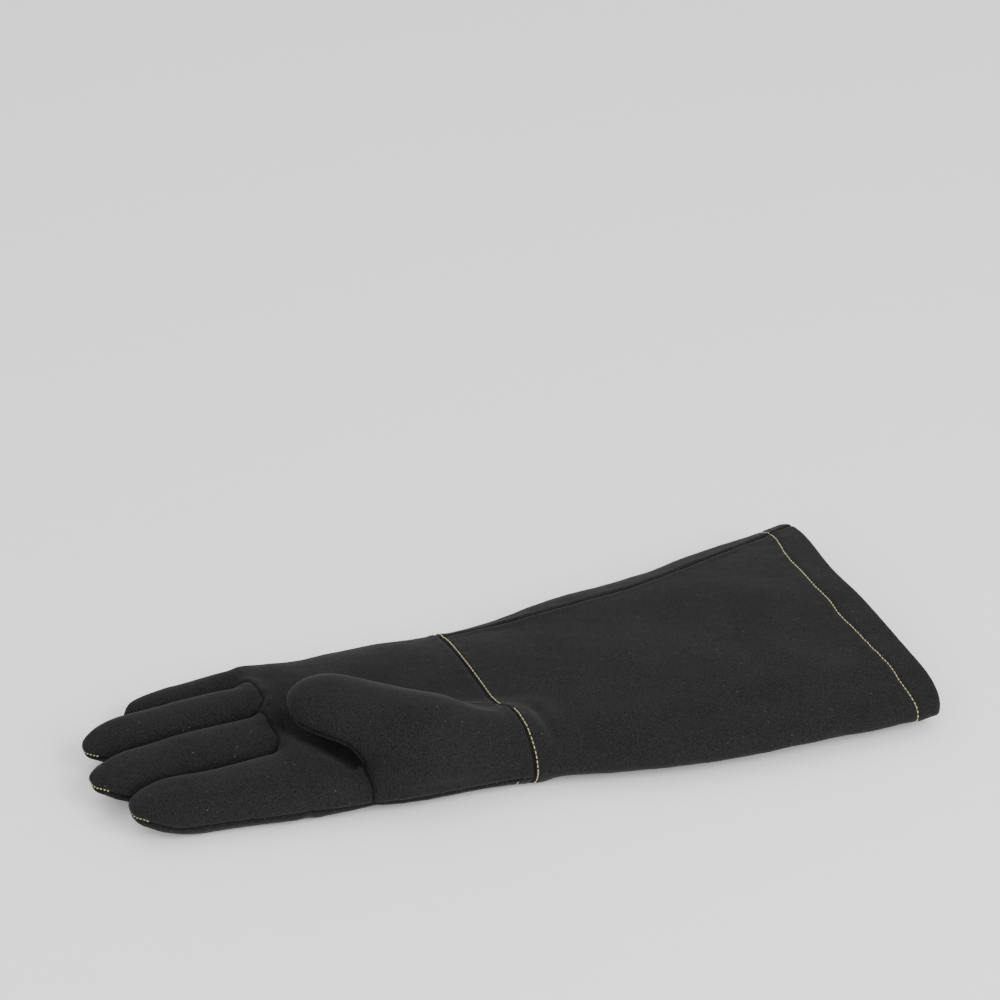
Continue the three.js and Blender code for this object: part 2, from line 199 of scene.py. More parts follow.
FOLDS = [
    ((9, -20), (10, -54), 2.4, 4.5),
    ((16, -52), (205, -72), 1.0, 8),
    ((30, -46), (200, -60), -0.7, 9),
    ((-34, -14), (-10, -20), 0.9, 3),
    ((-28, -22), (-12, -26), 0.7, 2.5),
    ((14, 58), (60, 40), 0.5, 9),
    ((150, 60), (188, 20), 0.5, 10),
]  # from, to, depth and width

KNIT_COLOURS = ((0.0024, 0.0023, 0.0023, 1), (0.0195, 0.0188, 0.0188, 1))  # dark and light
FELT_COLOURS = ((0.006, 0.006, 0.006, 1), (0.026, 0.025, 0.024, 1))
THREAD_COLOURS = ((0.26, 0.25, 0.11, 1), (0.66, 0.64, 0.36, 1))
FLOOR_COLOURS = ((0.93, 0.93, 0.93, 1), (0.95, 0.95, 0.95, 1))
LINT = (0.12, 0.12, 0.115, 1)
NAPPED = {
    "Specular IOR Level": 0.12,
    "Sheen Weight": 0.06,
    "Sheen Roughness": 0.45,
    "Sheen Tint": (0.75, 0.76, 0.8, 1),
}
TWISTED = {"Roughness": 0.55, "Sheen Weight": 0.2}

LIGHTS = [
    ("key", (0.9, -1.8, 1.4), 1.5, 62),
    ("fill", (-1.4, -1.0, 1.2), 1.6, 14),
    ("top", (0.1, 0.6, 2.0), 2.0, 8),
]  # name, place, size and power
WORLD_STRENGTH = 1.0
FLOOR_REACH = 6.0
LENS = 110
CAMERA_AZIMUTH = -24
CAMERA_ELEVATION = 32.44
CAMERA_DISTANCE = 1.8112
CAMERA_AIM = (0.0933, 0.2086, 0)

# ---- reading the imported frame
joints = {joint["name"]: joint for joint in frame["joints"]}
FINGERS = list(CROTCH_AHEAD)


def smoothstep(t):
    t = np.clip(t, 0, 1)
    return t * t * (3 - 2 * t)


def bump(value, width):
    return np.exp(-((value / width) ** 2))


def unit(rows):
    return rows / np.maximum(norm(rows, axis=1), 1e-12)[:, None]


def pivot(name):
    return np.array(joints[name]["pos_m"]) / MM


def edges_of(*nodes):
    """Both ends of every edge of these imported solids."""
    found = []
    for node in nodes:
        mesh = bpy.data.objects[node].data
        points = np.empty(3 * len(mesh.vertices))
        mesh.vertices.foreach_get("co", points)
        pairs = np.empty(2 * len(mesh.edges), int)
        mesh.edges.foreach_get("vertices", pairs)
        found.append(points.reshape(-1, 3)[pairs.reshape(-1, 2)])
    return np.concatenate(found) / MM


def section(ends, point, normal):
    """Where those edges cross a plane."""
    height = (ends - point) @ normal
    crossing = height[:, 0] * height[:, 1] < 0
    first, second = ends[crossing, 0], ends[crossing, 1]
    low, high = height[crossing].T
    return first + (second - first) * (low / (low - high))[:, None]


wrist = pivot("wrist_bend")
wrist_x, wrist_y, _ = wrist
mouth_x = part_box("cuff_palm_panel")[1][0] / MM
hem_x = mouth_x - HEM_DEPTH
thumb_free_from = np.array(THUMB_FREE_FROM) + wrist[:2]
wing_centre = np.array(WING_CENTRE) + [wrist_x, wrist_y, 0]
thumb_free_way = np.array(THUMB_FREE_WAY) / norm(THUMB_FREE_WAY)


class Finger:
    """A finger's level frame and sizes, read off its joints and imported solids."""

    def __init__(self, name):
        first = joints[name + "_curl"]
        self.side = np.array(first["axis"][:2])
        self.along = np.array([-self.side[1], self.side[0]])
        knuckle = pivot(name + "_curl")[:2]
        self.spacing = norm(pivot(name + "_tip_curl")[:2] - knuckle)
        self.root = knuckle - self.along * CROTCH_AHEAD[name]
        ends = edges_of(*(f"{name}_{part}_{span}" for part in ("back", "palm") for span in ("base", "tip")))
        self.length = ((ends[:, 0, :2] - self.root) @ self.along).max()
        self.straight = self.length - TIP_ROUND
        self.height = (ends[..., 2].max() + REST_FLAT) / 2 * PLUMP[name]
        places = [CROTCH_AHEAD[name] + 3, self.straight - 3]
        widths = [self.half_width(ends, place) for place in places]
        self.width_fit = np.polyfit(places, widths, 1)

    def half_width(self, ends, place):
        point = np.append(self.root + self.along * place, 0)
        cut = section(ends, point, np.append(self.along, 0))
        return np.abs((cut[:, :2] - self.root) @ self.side).max()

    def width(self, place):
        return np.polyval(self.width_fit, np.clip(place, 0, self.straight))

    def local(self, points):
        level = points[:, :2] - self.root
        return level @ self.along, level @ self.side

    def edge(self, x, way):
        """Where this finger's side, `way` -1 or 1, runs at x."""
        place = (x - self.root[0]) / self.along[0]
        return self.root[1] + self.along[1] * place + way * self.width(place) / self.side[1]


fingers = {name: Finger(name) for name in FINGERS}
crotch_x = fingers["index"].root[0]


def middle_line(x, order):
    """Middle of the gap between two neighbouring fingers."""
    first, second = fingers[FINGERS[order]], fingers[FINGERS[order + 1]]
    return (first.edge(x, 1) + second.edge(x, -1)) / 2


def body_rows():
    """Centreline, half width and half height of the cuff and hand on a fine row of x."""
    cuff, back, palm = ("cuff_palm_panel", "cuff_back_panel"), ("hand_back_panel",), ("palm_panel",)
    at_cuff = np.linspace(mouth_x - 1, wrist_x + ROW_NEAR_WRIST, 14)
    at_hand = np.linspace(wrist_x - ROW_NEAR_WRIST, crotch_x + ROOT_INSIDE + 5, 8)
    rows = []
    for places, sides, tops in ((at_cuff, cuff, cuff), (at_hand, back, palm)):
        sides, tops = edges_of(*sides), edges_of(*tops)
        for x in places:
            side, top = (section(ends, (x, 0, 0), (1, 0, 0)) for ends in (sides, tops))
            rows.append((x, side[:, 1].min(), side[:, 1].max(), top[:, 2].max()))
    x, low, high, top = np.array(rows)[::-1].T
    fine = np.arange(crotch_x - 12, mouth_x + 12, 1.0)
    reach = 24
    kernel = bump(np.arange(-reach, reach + 1), ROW_BLUR)
    kernel /= kernel.sum()

    def smooth(values):
        start = np.polyfit(x[:4], values[:4], 1)
        end = np.polyfit(x[-2:], values[-2:], 1)
        filled = np.interp(fine, x, values)
        filled = np.where(fine < x[0], np.polyval(start, fine), filled)
        filled = np.where(fine > x[-1], np.polyval(end, fine), filled)
        padded = np.pad(filled, reach, mode="reflect", reflect_type="odd")
        return np.convolve(padded, kernel, mode="valid")

    low, high, top = smooth(low), smooth(high), smooth(top)
    into_fingers = smoothstep((crotch_x + PALM_TAPER - fine) / PALM_TAPER)
    near_side, far_side = fingers["index"].edge(fine, -1), fingers["little"].edge(fine, 1)
    low = np.where(fine < crotch_x + 2 * PALM_TAPER, np.minimum(low, near_side), low)
    low += into_fingers * (near_side - low)
    high += into_fingers * (far_side - high)
    return fine, (low + high) / 2, (high - low) / 2, (top + REST_FLAT) / 2


row_x, row_centre, row_width, row_height = body_rows()


def rows_at(x):
    return [np.interp(x, row_x, row) for row in (row_centre, row_width, row_height)]


# ---- the soft form

def smin(a, b, k):
    """Union of two distances with a fillet."""
    h = np.maximum(k - np.abs(a - b), 0)
    return np.minimum(a, b) - h * h / (4 * k)


def smax(a, b, k):
    return -smin(-a, -b, k)


def tube(across, above, width, height, power, end=0.0, end_length=1.0):
    """About how far a point is outside an oval tube. `end` runs from 0 to 1 over a rounded end."""
    a, b = np.abs(across) / width, np.abs(above) / height
    flat = np.maximum((a**power + b**power) ** (1 / power), 1e-3)
    reach = np.sqrt(flat**2 + end**2)
    slope = flat ** (1 - power) * np.hypot(a ** (power - 1) / width, b ** (power - 1) / height)
    slope = np.hypot(flat / reach * slope, end / reach / end_length)
    return (reach - 1) / np.maximum(slope, 0.25 / height)


def palm_height(x, y, height):
    """The palm comes down to the height of each finger on its way to the fingers."""
    near_fingers = smoothstep((crotch_x + PALM_TAPER - x) / PALM_TAPER)
    roots = [finger.root[1] for finger in fingers.values()]
    at_fingers = np.interp(y, roots, [finger.height for finger in fingers.values()])
    return height + near_fingers * (at_fingers + PALM_PROUD - height)


def body(points):
    """The hand and cuff, without fingers and thumb."""
    x = points[:, 0]
    centre, width, height = rows_at(x)
    height = palm_height(x, points[:, 1], height)
    end = np.clip((crotch_x + PALM_END_ROUND - x) / PALM_END_ROUND, 0, 2)
    above = points[:, 2] - (height - REST_FLAT)
    far_side = smoothstep((points[:, 1] - centre + 20) / 40)
    start, length = (near + (far - near) * far_side for near, far in TUCK_ZONE)
    tucked = smoothstep((crotch_x + start - x) / length)
    across, edge = past_flat(x, points[:, 1] - centre, width - PALM_TUCK * tucked)
    height = height - tucked
    return tube(across, above, edge, height, FLAT_OVAL, end, PALM_END_ROUND)


def past_flat(x, across, width):
    """How far a point lies within the rounded edge, and the edge's width, which narrows near the fingers."""
    edge = width + smoothstep((crotch_x + EDGE_TAPER - x) / EDGE_TAPER) * (EDGE_AT_FINGERS - width)
    return np.maximum(np.abs(across) - (width - edge), 0), edge


def palm_top(x, y):
    """Height of the palm's or the cuff's upper surface."""
    centre, width, height = rows_at(x)
    height = palm_height(x, y, height)
    across, edge = past_flat(x, y - centre, width)
    share = np.clip(across / edge, 0, 1) ** FLAT_OVAL
    return height - REST_FLAT + height * (1 - share) ** (1 / FLAT_OVAL)


def finger_form(points, name):
    finger = fingers[name]
    place, across = finger.local(points)
    tip = np.clip((place - finger.straight) / TIP_ROUND, 0, 2)
    root = np.clip(-place / ROOT_INSIDE, 0, 2)
    end_length = np.where(place > 0, TIP_ROUND, ROOT_INSIDE)
    sweep = TIP_SWEEP[name] * smoothstep((place - finger.straight + SWEEP_START) / SWEEP_LENGTH)
    height = finger.height - sweep
    above = points[:, 2] - (finger.height - REST_FLAT) - sweep
    width = finger.width(place)
    form = tube(across, above, width, height, FINGER_OVAL[name], np.maximum(tip, root), end_length)
    order = FINGERS.index(name)
    for neighbour, way in ((order - 1, -1), (order, 1)):
        if 0 <= neighbour < len(FINGERS) - 1:
            beside = way * (points[:, 1] - middle_line(points[:, 0], neighbour)) + FINGER_GAP / 2
            form = smax(form, beside, FINGER_GAP_ROUND)
    return form


def catmull(points, share):
    """Points at these shares of a smooth curve through all the given ones."""
    points = np.array(points, float)
    padded = np.vstack([2 * points[0] - points[1], points, 2 * points[-1] - points[-2]])
    span = np.clip(share * (len(points) - 1), 0, len(points) - 1 - 1e-9)
    i = span.astype(int)
    t = (span - i)[:, None]
    a, b, c, d = padded[i], padded[i + 1], padded[i + 2], padded[i + 3]
    return b + 0.5 * t * (c - a + t * (2 * a - 5 * b + 4 * c - d + t * (3 * (b - c) + d - a)))


thumb_share = np.linspace(0, 1, THUMB_SAMPLES)
thumb_line = catmull(THUMB_PATH, thumb_share) + [wrist_x, wrist_y, 0]
thumb_size = catmull(THUMB_HALF, thumb_share)
thumb_along = np.gradient(thumb_line, axis=0)
thumb_step = norm(thumb_along, axis=1)
thumb_along /= thumb_step[:, None]
thumb_side = unit(np.stack([thumb_along[:, 1], -thumb_along[:, 0], np.zeros(THUMB_SAMPLES)], axis=1))
thumb_up = np.cross(thumb_side, thumb_along)


def thumb_local(points):
    """The share along the thumb's middle line, and the distances beside and above it."""
    best = np.full(len(points), np.inf)
    index = np.zeros(len(points), int)
    for i, centre in enumerate(thumb_line):
        distance = ((points - centre) ** 2).sum(axis=1)
        nearer = distance < best
        best[nearer] = distance[nearer]
        index[nearer] = i
    ahead = np.einsum("ij,ij->i", points - thumb_line[index], thumb_along[index])
    share = thumb_share[index] + ahead / thumb_step[index] * thumb_share[1]

    def at_share(rows):
        return np.stack([np.interp(share, thumb_share, row) for row in rows.T], axis=1)

    away = points - at_share(thumb_line)
    across = np.einsum("ij,ij->i", away, at_share(thumb_side))
    above = np.einsum("ij,ij->i", away, at_share(thumb_up))
    return share, across, above


def thumb_form(points):
    share, across, above = thumb_local(points)
    width = np.interp(share, thumb_share, thumb_size[:, 0])
    height = np.interp(share, thumb_share, thumb_size[:, 1])
    length = thumb_step.mean() / thumb_share[1]
    tip = np.clip((share - 1 + THUMB_TIP_ROUND) / THUMB_TIP_ROUND, 0, 2)
    root = np.clip(-share / THUMB_TIP_ROUND, 0, 2)
    end = np.maximum(tip, root)
    form = tube(across, above, width, height, ROUND_OVAL, end, length * THUMB_TIP_ROUND)
    level = (points - wing_centre) / WING_RADII
    reach = norm(level, axis=1)
    mound = (reach - 1) * reach / np.maximum(norm(level / WING_RADII, axis=1), 1e-3)
    return smin(form, mound, THUMB_BLEND)


def hollow(points):
    """How deep the palm dips beneath the thumb."""
    start, end = np.array(HOLLOW) + wrist[:2]
    away = distance_from(points, start, end)
    return HOLLOW_DEPTH * bump(away, HOLLOW_WIDTH) * smoothstep((points[:, 2] - HOLLOW_LOW) / HOLLOW_FADE)


def distance_from(points, start, end):
    """Level distance from a line between two points seen from above."""
    way = end - start
    share = np.clip((points[:, :2] - start) @ way / (way @ way), 0, 1)
    return norm(points[:, :2] - start - share[:, None] * way, axis=1)


def near_thumb(points):
    low, high = thumb_line.min(axis=0) - THUMB_REACH, thumb_line.max(axis=0) + THUMB_REACH
    return np.all((points > low) & (points < high), axis=1)


def thumb_freedom(points):
    """How far a point lies beyond the crease where the thumb leaves the palm."""
    return (points[:, :2] - thumb_free_from) @ thumb_free_way


def outer(points):
    """Signed distance from the glove's outer surface, with the inside filled."""
    form = body(points)
    near = points[:, 0] < crotch_x + ROOT_INSIDE + FINGER_BLEND
    if near.any():
        some = points[near]
        all_fingers = np.min([finger_form(some, name) for name in FINGERS], axis=0)
        form[near] = smin(form[near], all_fingers, FINGER_BLEND)
    near = near_thumb(points)
    if near.any():
        some = points[near]
        thumb = thumb_form(some)
        ahead = thumb_freedom(some)
        free = smoothstep(ahead / THUMB_FREE_LENGTH)
        gap = free * (THUMB_GAP + THUMB_GAP_GROWTH * np.maximum(ahead, 0))
        thumb = smax(thumb, gap - form[near], 1.0)
        end, length = CREASE_FILLET
        fillet = 0.05 + THUMB_BLEND * (1 - smoothstep((ahead + end) / length))
        dip = smoothstep(ahead / HOLLOW_FADE) * hollow(some)
        form[near] = smin(form[near] + dip, thumb, fillet)
    return smax(form, -points[:, 2], TABLE_ROUND)


def across_cuff(points):
    """From -1 at the cuff's near edge to 1 at its far edge."""
    centre, width, _ = rows_at(points[:, 0])
    return np.clip((points[:, 1] - centre) / width, -1.1, 1.1)


def mouth(points):
    """The x of the cuff's edge: rounded at its corners, and longer at the far side."""
    across = across_cuff(points)
    corner = np.where(across < 0, *MOUTH_CORNER) * np.abs(across) ** MOUTH_CORNER_POWER
    return mouth_x + MOUTH_FAR * smoothstep(across - 0.15) - corner


def skins(points):
    """The glove as a hollow solid, open at the cuff's mouth."""
    form = outer(points)
    shell = smax(form, -(form + THICKNESS), 0.6)
    return smax(shell, points[:, 0] - mouth(points), RIM_ROUND)


# ---- meshing
def widened(value, middle, extra, zone=SPREAD_ZONE):
    """How much of the extra width lies below `value`, in a space drawn apart about `middle`."""
    return extra * np.clip((value - middle) / (zone + extra) + 0.5, 0, 1)


def closed_up(points):
    """Takes points of the drawn-apart space back to the glove."""
    x, y, z = points.T.copy()
    extra = SPREAD * smoothstep((crotch_x + SPREAD_FROM - x) / SPREAD_LENGTH)
    for order in range(len(FINGERS) - 1):
        below = order + 0.5
        y = y - widened(points[:, 1], middle_line(x, order) + below * extra, extra)
    ahead = (np.stack([x, y], axis=1) - thumb_free_from) @ thumb_free_way
    extra = SPREAD * smoothstep(ahead / THUMB_FREE_LENGTH + 0.25)
    gap = THUMB_GAP + THUMB_GAP_GROWTH * np.maximum(ahead, 0)
    middle = palm_top(x, y) + gap / 2
    z = z - widened(z, middle + extra / 2, extra, gap)
    return np.stack([x, y, z], axis=1)


def mesh_of_form():
    low, high = np.array(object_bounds()) / MM
    low -= MESH_MARGIN
    high += MESH_MARGIN + np.array([0, 3 * SPREAD, 1 + SPREAD])
    counts = np.ceil((high - low) / VOXEL).astype(int) + 1
    lattice = np.stack(np.meshgrid(*(np.arange(n) for n in counts), indexing="ij"), axis=-1)
    values = np.empty(lattice.shape[:3], np.float32)
    for i in range(counts[0]):
        points = lattice[i].reshape(-1, 3) * VOXEL + low
        values[i] = skins(closed_up(points)).reshape(values[i].shape)
    band = 3 * VOXEL
    grid = openvdb.FloatGrid(background=band)
    grid.copyFromArray(np.clip(values, -band, band), ijk=(0, 0, 0))
    points, quads = grid.convertToQuads(isovalue=0)
    return closed_up(points * VOXEL + low), quads.astype(int)


def laid_on(points, reach=0.15):
    """Moves points onto the form."""
    value = skins(points)
    slope = np.stack([(skins(points + reach * way) - value) / reach for way in np.eye(3)], axis=1)
    steep = np.maximum((slope**2).sum(axis=1), 0.25)
    return points - np.clip(value / steep, -1, 1)[:, None] * slope


def relaxed(points, quads, rounds):
    """Evens the mesh out, then lays its points back on the form."""
    starts = quads.ravel()
    ends = np.roll(quads, -1, axis=1).ravel()
    n = len(points)
    count = np.bincount(np.concatenate([starts, ends]), minlength=n)[:, None]
    for _ in range(rounds):
        total = [np.bincount(starts, row[ends], n) + np.bincount(ends, row[starts], n) for row in points.T]
        points = laid_on((points + np.stack(total, axis=1) / count) / 2)
    return points


# ---- seam lines, each the zero line of a field
def wrist_seam(points):
    """Negative on the hand's side. The seam steps towards the cuff over the thumb wing."""
    across = points[:, 1] - wrist_y
    lean = WRIST_SEAM_LEAN * np.maximum(across - WRIST_STEP_Y, 0)
    step = WRIST_STEP * smoothstep((WRIST_STEP_Y + 2 - across) / WRIST_STEP_WIDTH)
    return points[:, 0] - wrist_x + WRIST_SEAM_IN + lean - step


def cuff_seam(points):
    """Positive on the cuff's palm panel."""
    x, y, z = points.T
    edge = np.interp(x, row_x, row_centre + row_width)
    inset = np.interp(x, np.linspace(wrist_x, mouth_x, 3), CUFF_SEAM_IN)
    return np.minimum(z - CUFF_SEAM_Z, edge - inset - y)


def hand_seam(points):
    """Positive on the palm's side. The seam rises round each fingertip."""
    rise = np.zeros(len(points))
    for order, name in enumerate(FINGERS):
        place, _ = fingers[name].local(points)
        at_tip = smoothstep((place - fingers[name].straight) / (TIP_ROUND - 3))
        rise += TIP_SEAM_RISE[name] * at_tip * (lane(points) == order)
    return points[:, 2] - HAND_SEAM_Z - rise


def hem_line(points):
    """Positive on the hem. The line wanders a little, as it was sewn."""
    wave = sum(high * np.sin(points[:, 1] / long + start) for high, long, start in HEM_WANDER)
    edge = mouth(points) * HEM_FOLLOWS + mouth_x * (1 - HEM_FOLLOWS)
    nearer = HEM_ENDS * np.abs(across_cuff(points)) ** HEM_ENDS_POWER
    return points[:, 0] - edge + HEM_DEPTH - nearer - wave


def wing(points):
    """Negative on the thumb wing: the ball of the thumb, its tube and the palm's edge beneath it."""
    at_wrist, at_front = WING_TOP
    share = (points[:, 0] - wrist_x) / WING_FRONT
    top = points[:, 1] - wrist_y - at_wrist - (at_front - at_wrist) * share
    front = wrist_x + WING_FRONT - points[:, 0]
    edge = np.maximum(top, front)
    some = near_thumb(points)
    edge[some] = np.minimum(edge[some], thumb_side_of_crease(points[some]))
    return edge


def thumb_side_of_crease(points):
    """Negative on the thumb's own tube."""
    return thumb_form(points) - body(points)


def freed_thumb(points):
    """Negative on the part of the thumb that has left the palm."""
    freed = np.full(len(points), 9.0)
    some = near_thumb(points)
    freed[some] = np.maximum(thumb_side_of_crease(points[some]), -thumb_freedom(points[some]))
    return freed


def thumb_edge(points):
    """Negative on the thumb's under panel, which narrows to nothing at its root."""
    share, across, above = thumb_local(points)
    share = share - THUMB_EDGE_FAR * smoothstep(across / 10 + 0.5)
    raised = smoothstep((share - THUMB_EDGE_FROM) / THUMB_EDGE_FADE)
    return above + THUMB_EDGE_LOW + THUMB_EDGE_DROP * (1 - raised)


def lane(points):
    """The order of the finger whose lane each point lies in."""
    lanes = [points[:, 1] > middle_line(points[:, 0], order) for order in range(len(FINGERS) - 1)]
    return np.sum(lanes, axis=0)


def between(order):
    """Positive on the far side of the line between two neighbouring fingers."""
    return lambda points: points[:, 1] - middle_line(points[:, 0], order)


def set_in_base(name):
    """Positive beyond a set-in finger piece's base seam, whose corners are rounded."""
    finger = fingers[name]

    def field(points):
        _, across = finger.local(points)
        share = np.clip(np.abs(across) / finger.width(0), 0, 1)
        corner = SET_IN_CORNER * share**SET_IN_CORNER_POWER
        return wrist_x + SET_IN[name] - corner - points[:, 0]

    return field


def beyond(name, start):
    """Positive further along a finger than this distance from its crotch."""
    return lambda points: fingers[name].local(points)[0] - start


def first_cut(name):
    return CROTCH_AHEAD[name] - KNUCKLE_ZONE[name]


def second_cut(name):
    return CROTCH_AHEAD[name] + fingers[name].spacing / 2


# ---- cutting into panels
def split(form, field, wanted):
    """Adds an edge loop where a field is zero, among the points for which `wanted` holds."""
    points = np.array([vert.co for vert in form.verts])
    value = np.full(len(points), np.nan)
    chosen = wanted(points)
    value[chosen] = field(points[chosen])
    edges = list(form.edges)
    ends = np.array([[vert.index for vert in edge.verts] for edge in edges])
    low, high = value[ends].T
    on_line = {}  # a dict, because a set of points has another order in every run
    for i in np.flatnonzero(low * high < 0):
        share = low[i] / (low[i] - high[i])
        first, second = edges[i].verts
        if share < SNAP:
            on_line[first] = True
        elif share > 1 - SNAP:
            on_line[second] = True
        else:
            on_line[bmesh.utils.edge_split(edges[i], first, share)[1]] = True
    bmesh.ops.connect_verts(form, verts=list(on_line))
    form.verts.index_update()


def cut_all(form):
    def outside(points):
        return outer(points) > -THICKNESS / 2

    def on_hand(points):
        return outside(points) & (wrist_seam(points) < VOXEL)

    def on_palm(points):
        return outside(points) & (hand_seam(points) > -VOXEL)

    def on_thumb(points):
        return near_thumb(points) & outside(points) & (freed_thumb(points) < VOXEL)

    def at_crotch(points):
        return outside(points) & (np.abs(points[:, 0] - crotch_x - 5) < 12)

    split(form, lambda points: outer(points) + THICKNESS / 2, lambda points: points[:, 0] > mouth_x - 12)
    split(form, wrist_seam, lambda points: np.ones(len(points), bool))
    split(form, hem_line, lambda points: ~outside(points) & (points[:, 0] > hem_x - 9))
    split(form, cuff_seam, lambda points: outside(points) & (wrist_seam(points) > -VOXEL))
    split(form, hand_seam, on_hand)
    split(form, wing, lambda points: on_hand(points) & on_palm(points))
    split(form, freed_thumb, near_thumb)
    split(form, thumb_edge, on_thumb)
    for order, name in enumerate(FINGERS):
        split(form, beyond(name, first_cut(name)), in_lane(order))
        split(form, beyond(name, second_cut(name)), in_lane(order))
    for order in range(len(FINGERS) - 1):
        split(form, between(order), at_crotch)
    for name in SET_IN:
        mine = in_lane(FINGERS.index(name))
        split(form, set_in_base(name), lambda points: mine(points) & on_palm(points))


def in_lane(order):
    return lambda points: (lane(points) == order) & (points[:, 0] < crotch_x + LANE_START)


def fabric_names(points):
    """The cloth that each point belongs to, as the glove was cut out and sewn."""
    palm_side = hand_seam(points) > 0
    names = np.where(palm_side, "palm", "back").astype("U10")
    names[palm_side & (wing(points) < 0)] = "wing"
    for name in SET_IN:
        names[in_lane(FINGERS.index(name))(points) & palm_side & (set_in_base(name)(points) > 0)] = name
    freed = np.flatnonzero(freed_thumb(points) < 0)
    names[freed] = np.where(thumb_edge(points[freed]) < 0, "under", "wing")
    cuff = wrist_seam(points) > 0
    names[cuff] = np.where(cuff_seam(points[cuff]) > 0, "cuff_palm", "cuff_back")
    names[outer(points) < -THICKNESS / 2] = "lining"
    return names


PANEL_OF = dict.fromkeys(("palm", *SET_IN), "palm_panel") | {
    "back": "hand_back_panel",
    "wing": "thumb_wing_base",
    "under": "thumb_wing_tip",
    "cuff_palm": "cuff_palm_panel",
    "cuff_back": "cuff_back_panel",
    "lining": "hand_lining",
}
LAYER_OF = dict.fromkeys(("palm", "wing", *SET_IN), "palm") | {"back": "back", "lining": "lining"}


def panel_names(points, fabric):
    """The panel, split where a joint bends, that each point belongs to."""
    names = np.array([PANEL_OF[cloth] for cloth in fabric], "U24")
    inner = fabric == "lining"
    freed = freed_thumb(points) < 0
    names[freed] = np.where(inner[freed], "thumb_lining_tip", "thumb_wing_tip")
    for name in SET_IN:
        names[(fabric == name) & ~freed] = name + "_palm_root"
    for order, name in enumerate(FINGERS):
        mine = in_lane(order)(points) & ~freed
        for start, span in ((first_cut(name), "base"), (second_cut(name), "tip")):
            where = mine & (beyond(name, start)(points) > 0)
            names[where] = [f"{name}_{LAYER_OF[cloth]}_{span}" for cloth in fabric[where]]
    cuff = inner & (wrist_seam(points) > 0)
    names[cuff] = "cuff_lining"
    names[cuff & (hem_line(points) > 0)] = "cuff_hem_fold"
    return names


def cut_glove():
    """The form's mesh, evened out and cut along every seam, as points and faces."""
    points, quads = mesh_of_form()
    points = relaxed(points, quads, RELAX_ROUNDS)
    mesh = bpy.data.meshes.new("glove")
    mesh.from_pydata(points, [], quads)
    form = bmesh.new()
    form.from_mesh(mesh)
    bpy.data.meshes.remove(mesh)
    cut_all(form)
    bmesh.ops.triangulate(form, faces=[face for face in form.faces if len(face.verts) > 4])
    if form.calc_volume(signed=True) < 0:
        bmesh.ops.reverse_faces(form, faces=form.faces)
    points = np.array([vert.co for vert in form.verts])
    faces = [[vert.index for vert in face.verts] for face in form.faces]
    form.free()
    return points, faces


points, faces = cut_glove()
corners = np.array([face + face[-1:] * (4 - len(face)) for face in faces])
middles = np.array([points[face].mean(axis=0) for face in faces])
fabric = fabric_names(middles)
panels = panel_names(middles, fabric)


# ---- seams, folds and dents
def seam_lines():
    """Points closely along every sewn seam of the outer cloth."""
    sides = np.stack([corners, np.roll(corners, -1, axis=1)], axis=-1)
    owner = np.repeat(np.arange(len(corners)), 4)
    sides = np.sort(sides.reshape(-1, 2), axis=1)
    real = sides[:, 0] != sides[:, 1]
    sides, owner = sides[real], owner[real]
    order = np.lexsort(sides.T)
    sides, owner = sides[order], owner[order]
    same = np.all(sides[1:] == sides[:-1], axis=1)
    first, second = fabric[owner[:-1]], fabric[owner[1:]]
    sewn = same & (first != second) & (first != "lining") & (second != "lining")
    ends = points[sides[:-1][sewn]]
    return np.concatenate([ends[:, 0], ends[:, 1], ends.mean(axis=1)])


def distance_to(lines, points):
    tree = kdtree.KDTree(len(lines))
    for i, line in enumerate(lines):
        tree.insert(line, i)
    tree.balance()
    return np.array([tree.find(point)[2] for point in points])


def ripple(points, size, seed, stretch=(1, 1, 1)):
    """Gentle random bumps, about this far apart and about one high."""
    rng = np.random.default_rng(seed)
    total = np.zeros(len(points))
    for _ in range(WAVES):
        way = rng.normal(size=3)
        way *= 2 * np.pi / norm(way) / size * rng.uniform(0.7, 1.4)
        total += np.cos((points * stretch) @ way + rng.uniform(0, 2 * np.pi))
    return total / math.sqrt(WAVES / 2)


def fold(points, start, end, depth, width):
    """A valley, or with a negative depth a ridge, from one point to another seen from above."""
    start, end = np.array(start, float), np.array(end, float)
    way = end - start
    share = (points[:, :2] - start) @ way / (way @ way)
    strength = smoothstep((share + 0.15) / 0.4) * smoothstep((1.15 - share) / 0.4)
    return -depth * strength * bump(distance_from(points, start, end), width)


def outward(points, reach=0.3):
    value = outer(points)
    return unit(np.stack([outer(points + reach * way) - value for way in np.eye(3)], axis=1))


